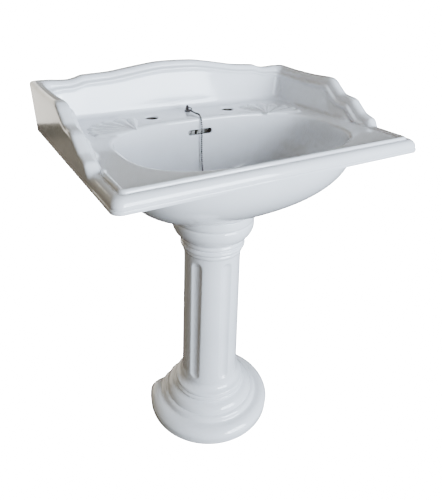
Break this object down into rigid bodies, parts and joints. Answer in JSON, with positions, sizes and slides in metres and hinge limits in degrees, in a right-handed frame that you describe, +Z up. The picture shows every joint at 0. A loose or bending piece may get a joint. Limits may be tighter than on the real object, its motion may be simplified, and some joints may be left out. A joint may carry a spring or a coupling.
{
  "type": "pedestal sink",
  "caption": "Ceramic wash basin with scalloped upstands and two tap holes on a round fluted pedestal, with chained plug, slotted waste and bottle trap.",
  "frame": {"origin": "on the floor, under the middle of the basin's outline", "axes": "+X to the right seen from the front, +Y towards the wall, +Z up"},
  "size_m": [0.66, 0.48, 0.946],
  "materials": {
    "ceramic": "glossy white glaze",
    "chrome": "polished, slightly dulled",
    "aged_metal": "plating worn to a dark tone",
    "brass": "plain turned",
    "rubber": "matt black",
    "soft_seal": "matt grey foam rubber",
    "poly": "white moulded polypropylene"
  },
  "bodies": {
    "root": {"basin_deck": "ceramic", "basin_tap_ledge": "ceramic", "basin_bowl_floor": "ceramic", "basin_overflow": "ceramic", "basin_wall_front_left": "ceramic", "basin_wall_front_right": "ceramic", "basin_wall_back_left": "ceramic", "basin_wall_back_right": "ceramic", "pedestal": "ceramic", "pedestal_seat_pad": "soft_seal", "waste_body": "chrome", "waste_flange_seal": "soft_seal", "waste_rubber_washer": "rubber", "waste_poly_washer": "poly", "waste_backnut": "brass", "plug_chain": "aged_metal", "chain_top_link": "aged_metal", "stay_ring": "aged_metal", "chain_stay": "aged_metal", "stay_top_washer": "rubber", "stay_washer": "rubber", "stay_nut": "brass", "trap_inlet_nut": "poly", "trap_inlet_seal": "rubber", "trap_body": "poly", "trap_dip_tube": "poly", "trap_cup_seal": "rubber", "trap_outlet_nut": "poly", "trap_outlet_seal": "rubber", "waste_pipe": "poly"},
    "plug": {"plug_body": "chrome", "plug_seal_ring": "rubber", "plug_eye": "chrome", "plug_ring": "aged_metal", "chain_end_link": "aged_metal"},
    "trap_cup": {"trap_cup": "poly"}
  },
  "joints": [
    {"name": "plug_lift", "type": "slide", "parent": "root", "child": "plug", "axis": [0, 0, 1], "range_m": [0, 0.06], "deforming": ["plug_chain"]},
    {"name": "trap_cup_drop", "type": "slide", "parent": "root", "child": "trap_cup", "axis": [0, 0, -1], "range_m": [0, 0.04]}
  ]
}
